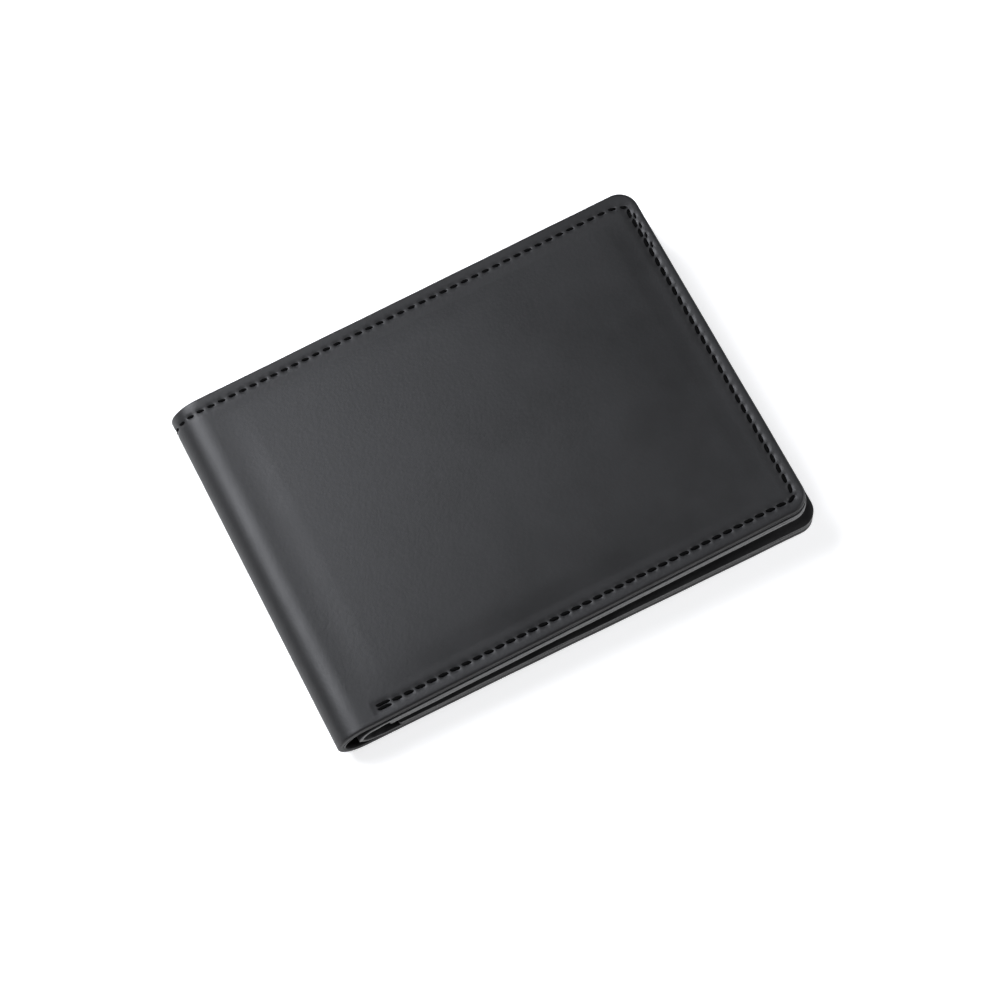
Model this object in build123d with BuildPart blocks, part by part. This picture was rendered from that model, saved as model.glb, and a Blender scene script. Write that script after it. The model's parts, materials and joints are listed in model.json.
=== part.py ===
from build123d import *
import os

# Bifold wallet, lying closed on its back cover.
# +X runs from the fold to the free edge, +Y from the sewn bottom to the bill opening, +Z is up.
# The origin is the centre of the closed wallet's footprint, on the surface it lies on.

# Overall size
width = 117.3
height = 85.6
frontSetback = 2.3  # how much nearer the fold the front half's free edge lies than the back half's
foldThickness = 11.0
cornerRadius = 4.5
springOpen = 2.2  # degrees that the resting front half stands off the back half

# Layers of one half, from the cover's outer face inwards
leatherThickness = 1.3
liningThickness = 0.4
wallThickness = 0.9
backingThickness = 0.6
pocketThickness = 0.6
lowerPocketThickness = 0.7
pocketLiningThickness = 0.2

# Bill wall and card pockets
wallTopDrop = 3.0
backingTopDrop = 4.0
upperTopDrop = 8.0
pocketStep = 11.0
pocketOverlap = 5.0
pocketDepth = 52.0
wallFoldSetback = 4.8  # from the shell's fold to the bill wall's own fold
stackSetback = 14.6  # from the shell's fold to the back half's card pockets
pocketLiningMargin = 4.5
rampStart = 6.0  # from the sewn bottom to where the lower pocket starts to rise over the other two
rampEnd = 12.0

# Sewing
bottomSeamMargin = 3.0
sideSeamMargin = 2.7
topSeamMargin = 2.9
bottomSeamSetback = 13.6
centreSeamMargin = 2.2
seamCorner = 1.5
grooveWidth = 0.8
grooveDepth = 0.3
threadWidth = 0.6
threadSink = 0.05  # how far the thread lies below the leather's face

# Shell fold: one stiff strip of the shell's leather that turns about two lines on its outer face
foldAngle = 50.0  # from the fold's outermost line round to each of the two lines

# Places worked out from the sizes above
foldRadius = foldThickness / 2
foldX = -width / 2
freeX = width / 2
bottomY = -height / 2
topY = height / 2
arcX = foldX + foldRadius
liningDepth = leatherThickness + liningThickness
wallDepth = liningDepth + wallThickness
backingDepth = wallDepth + backingThickness
upperDepth = backingDepth + pocketThickness
middleDepth = upperDepth + pocketThickness
lowerDepth = middleDepth + lowerPocketThickness
footDepth = backingDepth + lowerPocketThickness
wallTop = topY - wallTopDrop
backingTop = topY - backingTopDrop
upperTop = topY - upperTopDrop
middleTop = upperTop - pocketStep
lowerTop = middleTop - pocketStep
bottomSeamY = bottomY + bottomSeamMargin
topSeamY = topY - topSeamMargin
wallFoldOuter = foldRadius - liningDepth
wallFoldX = foldX + wallFoldSetback + wallFoldOuter


def arcPoint(radius, angle):
    """Point of the fold's section: 0 degrees is its outermost line, -90 is at the back cover."""
    return Vector(arcX, foldRadius) + Vector(-radius, 0).rotate(Axis.Z, -angle)


def hingeMove(angle):
    """Turn about one fold line by half of the spring-open angle."""
    point = arcPoint(foldRadius, angle)
    there = Pos(point.X, 0, point.Y)
    return there * Rot(0, -springOpen / 2, 0) * there.inverse()


# Where the fold's strip stands at rest, and the plane midway between the halves
spineMove = hingeMove(-foldAngle)
foldPlane = Plane(spineMove * Pos(0, 0, foldRadius))

pieces = []


def keep(part, name):
    """Front pieces are made where the back half's are, then mirrored across the plane between them."""
    if name.startswith("front_"):
        with BuildPart() as mirrored:
            mirror(part, about=foldPlane)
        part = mirrored.part
    part.label = name
    pieces.append(part)


def layerSection(plane, depthOut, depthIn, endX):
    """Section of a back-cover layer: flat from endX to the fold, then round to the fold line."""
    outer = foldRadius - depthOut
    inner = foldRadius - depthIn
    halfway = (-foldAngle - 90) / 2
    with BuildSketch(plane) as section:
        with BuildLine():
            Line((endX, depthOut), (arcX, depthOut))
            ThreePointArc((arcX, depthOut), arcPoint(outer, halfway), arcPoint(outer, -foldAngle))
            Line(arcPoint(outer, -foldAngle), arcPoint(inner, -foldAngle))
            ThreePointArc(arcPoint(inner, -foldAngle), arcPoint(inner, halfway), (arcX, depthIn))
            Line((arcX, depthIn), (endX, depthIn))
            Line((endX, depthIn), (endX, depthOut))
        make_face()
    return section.sketch


def spineSection(plane, outer, inner):
    """Section of one layer of the fold's strip, a sector of a ring."""
    with BuildSketch(plane) as section:
        with BuildLine():
            ThreePointArc(arcPoint(outer, -foldAngle), arcPoint(outer, 0), arcPoint(outer, foldAngle))
            Line(arcPoint(outer, foldAngle), arcPoint(inner, foldAngle))
            ThreePointArc(arcPoint(inner, foldAngle), arcPoint(inner, 0), arcPoint(inner, -foldAngle))
            Line(arcPoint(inner, -foldAngle), arcPoint(outer, -foldAngle))
        make_face()
    return section.sketch


def seamStrip(depth, points, lineWidth):
    """Strip of one width along a seam's line, with rounded corners."""
    with BuildSketch(Plane.XY.offset(depth)) as strip:
        with BuildLine():
            if len(points) > 2:
                FilletPolyline(*points, radius=seamCorner)
            else:
                Line(*points)
        trace(line_width=lineWidth)
    return strip.sketch


def sectionPlane(y):
    """Plane across the fold at one place along it."""
    return Plane.XZ.offset(-y)


def pocketLevels(x):
    """Upright seam runs on each visible step of the card pockets, as (depth, line) pairs."""
    depths = [middleDepth, upperDepth, backingDepth]
    edges = [lowerTop, middleTop, upperTop, backingTop]
    return [
        (depth, [(x, low + grooveWidth), (x, high - grooveWidth)])
        for depth, low, high in zip(depths, edges, edges[1:])
    ]


def stackLayer(name, depthOut, depthIn, startX, endX, lowY, highY, seams=()):
    """One flat layer sewn into the wallet's edge, with grooves for the seams on its inner face."""
    with BuildPart() as layer:
        with BuildSketch(Plane.XY.offset(depthOut)):
            with Locations(((startX + endX) / 2, (lowY + highY) / 2)):
                Rectangle(endX - startX, highY - lowY)
        extrude(amount=depthIn - depthOut)
        if lowY == bottomY:
            corner = layer.edges().filter_by(Axis.Z).group_by(Axis.X)[-1].sort_by(Axis.Y)[0]
            fillet(corner, cornerRadius)
        for line in seams:
            extrude(seamStrip(depthIn, line, grooveWidth), amount=-grooveDepth, mode=Mode.SUBTRACT)
    keep(layer.part, name)


for side, setback in [("back", 0), ("front", frontSetback)]:
    endX = freeX - setback
    stackX = foldX + stackSetback - setback
    sideSeamX = endX - sideSeamMargin
    centreX = stackX + centreSeamMargin
    seamStartX = foldX + bottomSeamSetback - setback

    # Line of the seam along the bottom and the free edge, seen from above
    edgeLine = [(seamStartX, bottomSeamY), (sideSeamX, bottomSeamY), (sideSeamX, topSeamY - 1.5)]

    # Cover: the shell's leather from the free edge to the first fold line
    with BuildPart() as cover:
        extrude(layerSection(Plane.XZ, 0, leatherThickness, endX), amount=height / 2, both=True)
        fillet(cover.edges().filter_by(Axis.Z).group_by(Axis.X)[-1], cornerRadius)
        extrude(seamStrip(0, edgeLine, grooveWidth), amount=grooveDepth, mode=Mode.SUBTRACT)
        topGroove = layerSection(sectionPlane(topSeamY), 0, grooveDepth, sideSeamX)
        extrude(topGroove, amount=grooveWidth / 2, both=True, mode=Mode.SUBTRACT)
    keep(cover.part, side + "_cover")

    # Lining of the bill compartment on the cover
    with BuildPart() as coverLining:
        extrude(layerSection(Plane.XZ, leatherThickness, liningDepth, endX), amount=height / 2, both=True)
        fillet(coverLining.edges().filter_by(Axis.Z).group_by(Axis.X)[-1], cornerRadius)
    keep(coverLining.part, side + "_cover_lining")

    # Bill wall: the divider between the bill compartment and the card pockets
    stackLayer(side + "_bill_wall", liningDepth, wallDepth, wallFoldX, endX, bottomY, wallTop)

    # The bill wall's own fold, the half of it on this side
    with BuildPart() as wallFold:
        with BuildSketch(Plane.XZ):
            with Locations((wallFoldX, foldRadius)):
                Circle(wallFoldOuter)
                Circle(wallFoldOuter - wallThickness, mode=Mode.SUBTRACT)
            with Locations((wallFoldX, foldRadius)):
                Rectangle(foldThickness, foldThickness, align=(Align.MIN, Align.CENTER), mode=Mode.SUBTRACT)
                Rectangle(foldThickness, foldThickness, align=(Align.MAX, Align.MIN), mode=Mode.SUBTRACT)
        extrude(amount=height / 2, both=True)
        split(bisect_by=Plane.XZ.offset(-wallTop), keep=Keep.TOP)
    keep(wallFold.part, side + "_wall_fold")

    # Card pockets, from the bill wall inwards
    pocketStart = bottomY + rampEnd + grooveWidth
    footLine = [(stackX + grooveWidth, bottomSeamY), (sideSeamX, bottomSeamY)]
    lowerSideLine = [(sideSeamX, pocketStart), (sideSeamX, lowerTop - grooveWidth)]
    lowerCentreLine = [(centreX, pocketStart), (centreX, lowerTop - grooveWidth)]
    lowerRuns = [(footDepth, footLine), (lowerDepth, lowerSideLine), (lowerDepth, lowerCentreLine)]
    sideLevels = pocketLevels(sideSeamX)
    centreLevels = pocketLevels(centreX)
    middleSeams = [sideLevels[0][1], centreLevels[0][1]]
    upperSeams = [sideLevels[1][1], centreLevels[1][1]]
    backingSeams = [sideLevels[2][1], centreLevels[2][1]]
    upperLow = middleTop - pocketOverlap
    middleLow = lowerTop - pocketOverlap
    stackLayer(side + "_card_backing", wallDepth, backingDepth, stackX, endX, bottomY, backingTop, backingSeams)
    stackLayer(side + "_upper_pocket", backingDepth, upperDepth, stackX, endX, upperLow, upperTop, upperSeams)
    stackLayer(side + "_middle_pocket", upperDepth, middleDepth, stackX, endX, middleLow, middleTop, middleSeams)

    # The lower pocket lies on the backing at its foot and rises over the other pockets
    with BuildPart() as lowerPocket:
        with BuildSketch(Plane.YZ.offset(stackX)):
            with BuildLine():
                Polyline(
                    (bottomY, backingDepth),
                    (bottomY + rampStart, backingDepth),
                    (bottomY + rampEnd, middleDepth),
                    (lowerTop, middleDepth),
                    (lowerTop, lowerDepth),
                    (bottomY + rampEnd, lowerDepth),
                    (bottomY + rampStart, footDepth),
                    (bottomY, footDepth),
                    close=True,
                )
            make_face()
        extrude(amount=endX - stackX)
        footCorner = lowerPocket.edges().filter_by(Axis.Z).group_by(Axis.X)[-1].sort_by(Axis.Y)[0]
        fillet(footCorner, cornerRadius)
        for depth, line in lowerRuns:
            extrude(seamStrip(depth, line, grooveWidth), amount=-grooveDepth, mode=Mode.SUBTRACT)
    keep(lowerPocket.part, side + "_lower_pocket")

    # Cloth linings that hang below the upper two pockets and hold the cards
    liningStart = stackX + pocketLiningMargin
    liningEnd = sideSeamX - pocketLiningMargin / 2
    for name, depth, low, top in [
        ("_upper_pocket_lining", backingDepth, upperLow, upperTop),
        ("_middle_pocket_lining", upperDepth, middleLow, middleTop),
    ]:
        clothDepth = depth + pocketLiningThickness
        stackLayer(side + name, depth, clothDepth, liningStart, liningEnd, top - pocketDepth, low)

    # Seam along the bottom and the free edge, through every layer
    with BuildPart() as edgeSeam:
        extrude(seamStrip(threadSink, edgeLine, threadWidth), amount=grooveDepth - threadSink)
        for depth, line in lowerRuns[:2] + sideLevels:
            extrude(seamStrip(depth - grooveDepth, line, threadWidth), amount=grooveDepth - threadSink)
    keep(edgeSeam.part, side + "_edge_seam")

    # Seam along the card pockets' edge beside the fold
    with BuildPart() as centreSeam:
        for depth, line in lowerRuns[2:] + centreLevels:
            extrude(seamStrip(depth - grooveDepth, line, threadWidth), amount=grooveDepth - threadSink)
    keep(centreSeam.part, side + "_centre_seam")

    # Seams that close the foot of each cloth lining
    with BuildPart() as liningSeams:
        for depth, top in [(backingDepth, upperTop), (upperDepth, middleTop)]:
            footY = top - pocketDepth + threadWidth * 2
            closeLine = [(liningStart + 1, footY), (liningEnd - 1, footY)]
            closeStrip = seamStrip(depth + pocketLiningThickness, closeLine, threadWidth)
            extrude(closeStrip, amount=pocketLiningThickness / 2)
    keep(liningSeams.part, side + "_lining_seams")

    # Seam along the bill opening, through the shell and its lining
    with BuildPart() as topSeam:
        topThread = layerSection(sectionPlane(topSeamY), threadSink, grooveDepth, sideSeamX)
        extrude(topThread, amount=threadWidth / 2, both=True)
    keep(topSeam.part, side + "_top_seam")

# The strip of the shell that runs round the fold, with its lining and its run of the bill-opening seam
spinePlane = Plane(spineMove * Plane.XZ.location)
spineSeamPlane = Plane(spineMove * sectionPlane(topSeamY).location)
with BuildPart() as spine:
    extrude(spineSection(spinePlane, foldRadius, foldRadius - leatherThickness), amount=height / 2, both=True)
    spineGroove = spineSection(spineSeamPlane, foldRadius, foldRadius - grooveDepth)
    extrude(spineGroove, amount=grooveWidth / 2, both=True, mode=Mode.SUBTRACT)
keep(spine.part, "spine_leather")
with BuildPart() as spineLining:
    liningSection = spineSection(spinePlane, foldRadius - leatherThickness, foldRadius - liningDepth)
    extrude(liningSection, amount=height / 2, both=True)
keep(spineLining.part, "spine_lining")
with BuildPart() as spineSeam:
    spineThread = spineSection(spineSeamPlane, foldRadius - threadSink, foldRadius - grooveDepth)
    extrude(spineThread, amount=threadWidth / 2, both=True)
keep(spineSeam.part, "spine_seam")

os.makedirs("parts", exist_ok=True)
for piece in pieces:
    export_step(piece, "parts/" + piece.label + ".step")
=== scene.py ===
import bpy
import json
import math
import numpy as np
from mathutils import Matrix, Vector, noise


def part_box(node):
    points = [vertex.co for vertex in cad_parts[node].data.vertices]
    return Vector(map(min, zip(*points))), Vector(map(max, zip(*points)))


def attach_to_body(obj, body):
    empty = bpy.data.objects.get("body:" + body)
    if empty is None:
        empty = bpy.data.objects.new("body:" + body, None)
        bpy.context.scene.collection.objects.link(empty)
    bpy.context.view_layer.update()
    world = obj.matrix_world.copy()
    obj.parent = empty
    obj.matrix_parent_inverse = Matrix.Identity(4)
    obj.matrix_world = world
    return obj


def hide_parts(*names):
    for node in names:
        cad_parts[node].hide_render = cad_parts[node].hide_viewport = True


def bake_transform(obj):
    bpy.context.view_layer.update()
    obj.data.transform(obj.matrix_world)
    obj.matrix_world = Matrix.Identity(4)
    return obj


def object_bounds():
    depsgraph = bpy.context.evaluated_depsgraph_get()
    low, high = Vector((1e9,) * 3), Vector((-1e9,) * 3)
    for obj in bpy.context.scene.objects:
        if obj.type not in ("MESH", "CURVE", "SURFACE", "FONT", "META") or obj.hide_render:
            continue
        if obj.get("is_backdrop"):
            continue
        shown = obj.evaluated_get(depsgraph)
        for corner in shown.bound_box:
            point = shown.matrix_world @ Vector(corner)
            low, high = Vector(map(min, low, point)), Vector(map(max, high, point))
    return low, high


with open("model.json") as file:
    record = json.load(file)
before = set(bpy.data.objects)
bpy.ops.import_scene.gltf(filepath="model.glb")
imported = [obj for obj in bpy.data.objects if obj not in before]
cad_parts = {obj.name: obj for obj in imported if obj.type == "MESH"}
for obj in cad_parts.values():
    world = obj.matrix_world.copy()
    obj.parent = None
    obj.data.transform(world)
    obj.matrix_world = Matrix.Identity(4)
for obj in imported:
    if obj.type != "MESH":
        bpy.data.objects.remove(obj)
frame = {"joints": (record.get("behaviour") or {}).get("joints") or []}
cadLow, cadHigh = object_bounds()
mm = 0.001

# Places, read from the frame in millimetres


def frameBox(node):
    low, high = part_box(node)
    return low / mm, high / mm


wallet = {
    "foldRadius": 5.5,  # outer face of the shell round the fold
    "width": 117.3,
    "frontSetback": 2.3,  # how much nearer the fold the front half's free edge lies
    "cornerRadius": 4.5,
    "wallFoldSetback": 4.9,  # from the shell's outermost line to the bill wall's own fold
    "wallDrop": 0.35,  # how far the bill wall comes off the lining before its fold
    "tightness": 1.4,  # 1 gives a round fold; more makes it turn tighter at its outermost line
    "skew": (-0.3, 0.9),  # how far the fold lies off its line at the middle, and off that at the far end
    "slip": 0.35,  # how far the back half's free end lies nearer than the front half's
    "leanAngles": (0.3, 1.2),  # radians round the fold over which it comes to lean with its half
    "skewSpan": (-20, -50),  # x where the skew starts and is whole
    "slipStart": -30,  # x where the slip starts
    "sharpAngle": 50,  # degrees between faces above which an edge shows sharp
}
turnSamples = 200
hinges = {joint["name"]: Vector(joint["pos_m"]) / mm for joint in frame["joints"]}
backHinge, frontHinge = hinges["fold_hinge"], hinges["front_hinge"]
coverLow, coverHigh = frameBox("back_cover")
liningLow, liningHigh = frameBox("back_cover_lining")
wallLow, wallHigh = frameBox("back_bill_wall")
backingLow, backingHigh = frameBox("back_card_backing")
upperLow, upperHigh = frameBox("back_upper_pocket")
middleLow, middleHigh = frameBox("back_middle_pocket")
lowerLow, lowerHigh = frameBox("back_lower_pocket")
freeX, lowY, highY = coverHigh.x, coverLow.y, coverHigh.y
crestX = freeX - wallet["width"]
foldRadius = wallet["foldRadius"]
arcX = crestX + foldRadius
quarter = math.pi / 2
turnShare = np.linspace(0, 1, turnSamples)
turnAngle = quarter * (1 - turnShare) ** wallet["tightness"]


def summed(values):
    return np.concatenate(([0], np.cumsum((values[1:] + values[:-1]) / 2))) / (len(values) - 1)


turnAcross, turnDown = summed(np.cos(turnAngle)), summed(np.sin(turnAngle))
halfSpring = math.atan2(backHinge.x - frontHinge.x, frontHinge.z - backHinge.z)
mirrorPoint = np.array((backHinge + frontHinge) / 2)
mirrorNormal = np.array((frontHinge - backHinge).normalized())
topSeamY = (frameBox("back_top_seam")[0].y + frameBox("back_top_seam")[1].y) / 2
edgeSeamLow, edgeSeamHigh = frameBox("back_edge_seam")
centreSeamLow, centreSeamHigh = frameBox("back_centre_seam")
threadHalf = 0.3
bottomSeamY, sideSeamX = edgeSeamLow.y + threadHalf, edgeSeamHigh.x - threadHalf
centreSeamX = (centreSeamLow.x + centreSeamHigh.x) / 2
print("frame read")


def ease(low, high, value):
    part = np.clip((value - low) / (high - low), 0, 1)
    return part * part * (3 - 2 * part)


def foldEnd(crest, arc):
    # flat place of a fold's outermost line, for a sheet that follows it at one radius
    return crest + arc * (turnAcross[-1] - 1) / turnDown[-1]


def bend(points, crest, arc):
    # flat layout (x along the section, y, depth from the shell's outer face) to its place on the back half
    x, y, depth = points.T
    length = arc / turnDown[-1]
    share = np.clip((x - foldEnd(crest, arc)) / length, 0, 1)
    angle = quarter * (1 - share) ** wallet["tightness"]
    inward = depth - foldRadius + arc
    across = crest + length * np.interp(share, turnShare, turnAcross)
    placedX = np.where(share < 1, across, x) + inward * np.sin(angle)
    placedZ = foldRadius - length * np.interp(share, turnShare, turnDown) + inward * np.cos(angle)
    turn = halfSpring * ease(*wallet["leanAngles"], angle)  # the fold leans with the half-open spring
    offX, offZ = placedX - backHinge.x, placedZ - backHinge.z
    middleSkew, endSkew = wallet["skew"]
    skew = (middleSkew + endSkew * y / highY) * ease(*wallet["skewSpan"], placedX)
    turnedX = backHinge.x + offX * np.cos(turn) - offZ * np.sin(turn) + skew
    turnedZ = backHinge.z + offX * np.sin(turn) + offZ * np.cos(turn)
    return np.stack((turnedX, y, turnedZ), axis=1)


def mirrored(points):
    return points - 2 * ((points - mirrorPoint) @ mirrorNormal)[:, None] * mirrorNormal


def makeMesh(name, points, faces, uvs, marks, material, front):
    # points in millimetres; uvs holds one pair for each face corner
    if not front:
        points[:, 1] -= wallet["slip"] * ease(wallet["slipStart"], freeX, points[:, 0])
    else:
        points = mirrored(points)
        faces = [face[::-1] for face in faces]
        uvs = [pairs[::-1] for pairs in uvs]
    mesh = bpy.data.meshes.new(name)
    mesh.from_pydata((points * mm).tolist(), [], faces)
    layer = mesh.uv_layers.new(name="UVMap")
    layer.data.foreach_set("uv", np.concatenate(uvs).astype(np.float32).ravel() * mm)
    for mark, values in marks.items():
        attribute = mesh.attributes.new(mark, "FLOAT", "POINT")
        attribute.data.foreach_set("value", np.asarray(values, np.float32))
    mesh.polygons.foreach_set("use_smooth", [True] * len(mesh.polygons))
    mesh.set_sharp_from_angle(angle=math.radians(wallet["sharpAngle"]))
    mesh.materials.append(material)
    piece = bpy.data.objects.new(name, mesh)
    bpy.context.scene.collection.objects.link(piece)
    return piece


# Shader helpers


class Value:
    # a node's output that takes part in sums
    def __init__(self, tree, socket):
        self.tree, self.socket = tree, socket

    def combine(self, operation, first, second):
        node = self.tree.nodes.new("ShaderNodeMath")
        node.operation = operation
        for slot, item in zip(node.inputs, (first, second)):
            if isinstance(item, Value):
                self.tree.links.new(item.socket, slot)
            else:
                slot.default_value = item
        return Value(self.tree, node.outputs[0])

    def __add__(self, other):
        return self.combine("ADD", self, other)

    def __radd__(self, other):
        return self.combine("ADD", other, self)

    def __sub__(self, other):
        return self.combine("SUBTRACT", self, other)

    def __rsub__(self, other):
        return self.combine("SUBTRACT", other, self)

    def __mul__(self, other):
        return self.combine("MULTIPLY", self, other)

    def __rmul__(self, other):
        return self.combine("MULTIPLY", other, self)


class Finish:
    # one material: a Principled shader and the nodes that feed it
    def __init__(self, name, **fixed):
        self.material = bpy.data.materials.new(name)
        self.material.use_nodes = True
        self.tree = self.material.node_tree
        self.tree.nodes.clear()
        self.shader = self.tree.nodes.new("ShaderNodeBsdfPrincipled")
        output = self.tree.nodes.new("ShaderNodeOutputMaterial")
        self.tree.links.new(self.shader.outputs[0], output.inputs["Surface"])
        for name, value in fixed.items():
            self.shader.inputs[name.replace("_", " ")].default_value = value

    def feed(self, node, inputs):
        for name, value in inputs.items():
            if isinstance(value, Value):
                self.tree.links.new(value.socket, node.inputs[name])
            else:
                node.inputs[name].default_value = value

    def node(self, kind, settings=None, inputs=None, out=0):
        made = self.tree.nodes.new(kind)
        for name, value in (settings or {}).items():
            if name == "stops":
                for element, (place, shade) in zip(made.color_ramp.elements, value):
                    element.position = place
                    element.color = (shade, shade, shade, 1)
            else:
                setattr(made, name, value)
        self.feed(made, inputs or {})
        return Value(self.tree, made.outputs[out])

    def noise(self, where, scale, detail=2.0, roughness=0.5):
        values = {"Vector": where, "Scale": scale, "Detail": detail, "Roughness": roughness}
        return self.node("ShaderNodeTexNoise", inputs=values)

    def ramp(self, factor, low, high):
        stops = {"stops": [(low, 0), (high, 1)]}
        return self.node("ShaderNodeValToRGB", stops, {"Fac": factor})

    def mix(self, factor, first, second):
        return self.node("ShaderNodeMix", {"data_type": "RGBA"}, {0: factor, 6: first, 7: second}, out=2)

    def bump(self, height, strength, distance):
        values = {"Height": height, "Strength": strength, "Distance": distance}
        return self.node("ShaderNodeBump", inputs=values)

    def shade(self, **inputs):
        self.feed(self.shader, {name.replace("_", " "): value for name, value in inputs.items()})
        return self.material


def grey(value, blue=1.0):
    return (value, value, value * blue, 1)


leatherLooks = {
    "black_shell_leather": {
        "dark": 0.0055, "light": 0.009, "blue": 1.08, "rough": 0.5, "grain": 0.75,
        "grainDepth": 0.022, "edge": 0.007, "edgeRough": 0.62, "speck": 0.03, "specular": 0.5,
    },
    "black_lining_leather": {
        "dark": 0.004, "light": 0.007, "blue": 1.02, "rough": 0.62, "grain": 0.5,
        "grainDepth": 0.02, "edge": 0.1, "edgeRough": 0.5, "speck": 0.012, "specular": 0.12,
    },
    "black_wall_leather": {
        "dark": 0.006, "light": 0.010, "blue": 1.03, "rough": 0.5, "grain": 0.6,
        "grainDepth": 0.025, "edge": 0.1, "edgeRough": 0.4, "speck": 0.02, "specular": 0.3,
    },
    "black_pocket_leather": {
        "dark": 0.008, "light": 0.013, "blue": 1.04, "rough": 0.46, "grain": 0.65,
        "grainDepth": 0.025, "edge": 0.1, "edgeRough": 0.4, "speck": 0.025, "specular": 0.35,
    },
}


hide = {  # what all these leathers share
    "cellSoftness": 0.6,
    "fineRatio": 2.4,  # noise scales against the grain's own
    "poreRatio": 1.3,
    "cloudScale": 55,
    "patchScale": 190,
    "cloudShare": 0.6,
    "patchShare": 0.25,
    "fineShare": 0.15,
    "toneRange": (0.38, 0.62),
    "softRange": (0.35, 0.65),
    "speckShares": (0.6, 0.4),  # of the fine noise and the pores
    "speckRange": (0.60, 0.72),
    "speckStrength": 0.35,
    "rubTone": 0.6, "rubStrength": 0.45, "edgeTones": (0.7, 1.2),
    "fineRough": 0.12, "cloudRough": 0.16, "wornSmooth": 0.05,
    "cellRelief": 0.7, "fineRelief": 0.3, "poreRelief": 0.25, "edgeFlatness": 0.7,
}
middle = 0.5  # mean of a noise


def leatherMaterial(name, look):
    finish = Finish(name, Specular_IOR_Level=look["specular"])
    where = finish.node("ShaderNodeTexCoord", out=2)
    cellScale = 1 / (look["grain"] * mm)
    cells = finish.node(
        "ShaderNodeTexVoronoi", {"feature": "SMOOTH_F1"},
        {"Vector": where, "Scale": cellScale, "Smoothness": hide["cellSoftness"], "Randomness": 1.0},
    )
    fine = finish.noise(where, cellScale * hide["fineRatio"], detail=3.0, roughness=0.6)
    pores = finish.noise(where, cellScale * hide["poreRatio"], detail=2.0, roughness=0.5)
    clouds = finish.noise(where, hide["cloudScale"], detail=4.0, roughness=0.55)
    patches = finish.noise(where, hide["patchScale"], detail=3.0, roughness=0.6)
    edge = finish.node("ShaderNodeAttribute", {"attribute_name": "edge"}, out=2)
    worn = finish.node("ShaderNodeAttribute", {"attribute_name": "worn"}, out=2)
    blend = clouds * hide["cloudShare"] + patches * hide["patchShare"] + fine * hide["fineShare"]
    tones = [grey(look[key], look["blue"]) for key in ("dark", "light", "speck")]
    colour = finish.mix(finish.ramp(blend, *hide["toneRange"]), *tones[:2])
    fineShare, poreShare = hide["speckShares"]
    specks = finish.ramp(fine * fineShare + pores * poreShare, *hide["speckRange"])
    colour = finish.mix(specks * hide["speckStrength"], colour, tones[2])
    rub = worn * finish.ramp(patches, *hide["softRange"])
    colour = finish.mix(rub * hide["rubStrength"], colour, grey(look["edge"] * hide["rubTone"]))
    edgeTones = [grey(look["edge"] * tone) for tone in hide["edgeTones"]]
    edgeTone = finish.mix(finish.ramp(pores, *hide["softRange"]), *edgeTones)
    # the edge attribute carries the edge paint, and on the back half's layers also painted shade that
    # darkens their edges
    colour = finish.mix(edge, colour, edgeTone)
    mottled = (fine - middle) * hide["fineRough"]
    clouded = (clouds - middle) * hide["cloudRough"]
    openRough = look["rough"] + mottled + clouded - worn * hide["wornSmooth"]
    roughness = openRough * (1 - edge) + edge * look["edgeRough"]
    relief = cells * hide["cellRelief"] + fine * hide["fineRelief"] + pores * hide["poreRelief"]
    height = relief * (1 - edge * hide["edgeFlatness"])
    normal = finish.bump(height, 1.0, look["grainDepth"] * mm)
    return finish.shade(Base_Color=colour, Roughness=roughness, Normal=normal)


def threadMaterial():
    look = {
        "dark": 0.0015, "light": 0.003, "rough": 0.65, "roughSpread": 0.2, "fibre": 9000,
        "depth": 0.03, "strength": 0.8,
    }
    finish = Finish("black_thread", Specular_IOR_Level=0.03)
    where = finish.node("ShaderNodeTexCoord", out=3)
    fibre = finish.noise(where, look["fibre"], detail=3.0, roughness=0.6)
    colour = finish.mix(finish.ramp(fibre, *hide["softRange"]), grey(look["dark"]), grey(look["light"]))
    normal = finish.bump(fibre, look["strength"], look["depth"] * mm)
    roughness = look["rough"] + (fibre - middle) * look["roughSpread"]
    return finish.shade(Base_Color=colour, Roughness=roughness, Normal=normal)


def clothMaterial():
    look = {
        "dark": 0.006, "light": 0.022, "rough": 0.75, "roughSpread": 0.1, "weave": 0.35,
        "depth": 0.05, "strength": 0.8, "waver": 0.3, "weaveShare": 0.8, "fuzzShare": 0.2,
    }
    finish = Finish("black_pocket_cloth", Specular_IOR_Level=0.3)
    where = finish.node("ShaderNodeTexCoord", out=2)
    scale = 1 / (look["weave"] * mm)
    ribs = {"Vector": where, "Scale": scale / 3, "Distortion": look["waver"]}
    waves = [finish.node("ShaderNodeTexWave", {"bands_direction": way}, ribs) for way in ("X", "Y")]
    weave = waves[0] * 0.5 + waves[1] * 0.5
    fuzz = finish.noise(where, scale * 2, detail=2.0, roughness=0.5)
    mixed = weave * look["weaveShare"] + fuzz * look["fuzzShare"]
    colour = finish.mix(mixed, grey(look["dark"]), grey(look["light"]))
    normal = finish.bump(weave, look["strength"], look["depth"] * mm)
    roughness = look["rough"] + (fuzz - middle) * look["roughSpread"]
    return finish.shade(Base_Color=colour, Roughness=roughness, Normal=normal)


materials = {name: leatherMaterial(name, look) for name, look in leatherLooks.items()}
materials["black_thread"] = threadMaterial()
materials["black_pocket_cloth"] = clothMaterial()
print("materials made")

# Seams: one rule gives both the stitches and the notches they pull into the leather

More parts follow.
